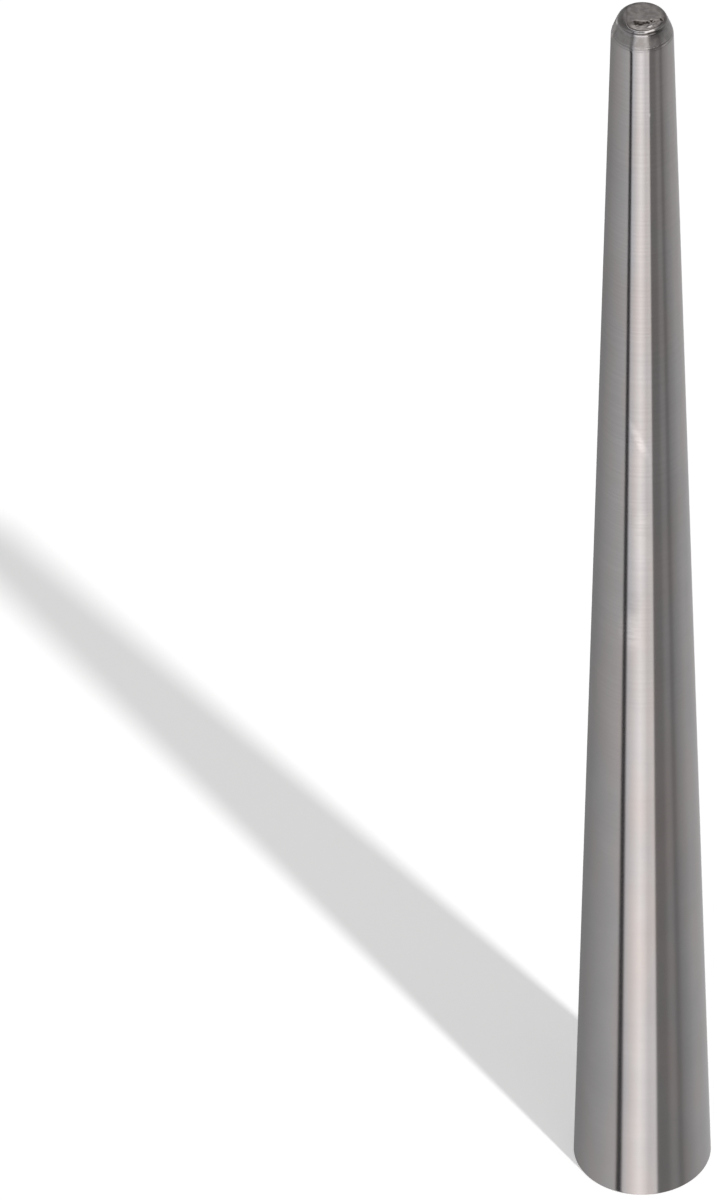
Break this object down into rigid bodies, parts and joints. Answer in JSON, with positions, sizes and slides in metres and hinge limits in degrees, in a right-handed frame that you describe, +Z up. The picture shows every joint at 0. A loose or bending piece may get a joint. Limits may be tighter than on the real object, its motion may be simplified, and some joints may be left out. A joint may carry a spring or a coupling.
{
  "type": "ring stretching mandrel",
  "caption": "Plain solid steel mandrel with a long smooth taper, a drawn-in shoulder and a cut-off small end, for stretching and rounding finger rings.",
  "frame": {"origin": "centre of the wide end's flat face, where the mandrel stands", "axes": "+Z up the taper's axis from the wide end to the small end; -Y is the front, where the small end's broken ledge is"},
  "size_m": [0.0254, 0.0254, 0.272],
  "materials": {
    "ground_steel": "fine ground and polished round the taper, bare and unplated, with a rough saw cut on the small end"
  },
  "bodies": {
    "root": {"mandrel": "ground_steel"}
  },
  "joints": []
}
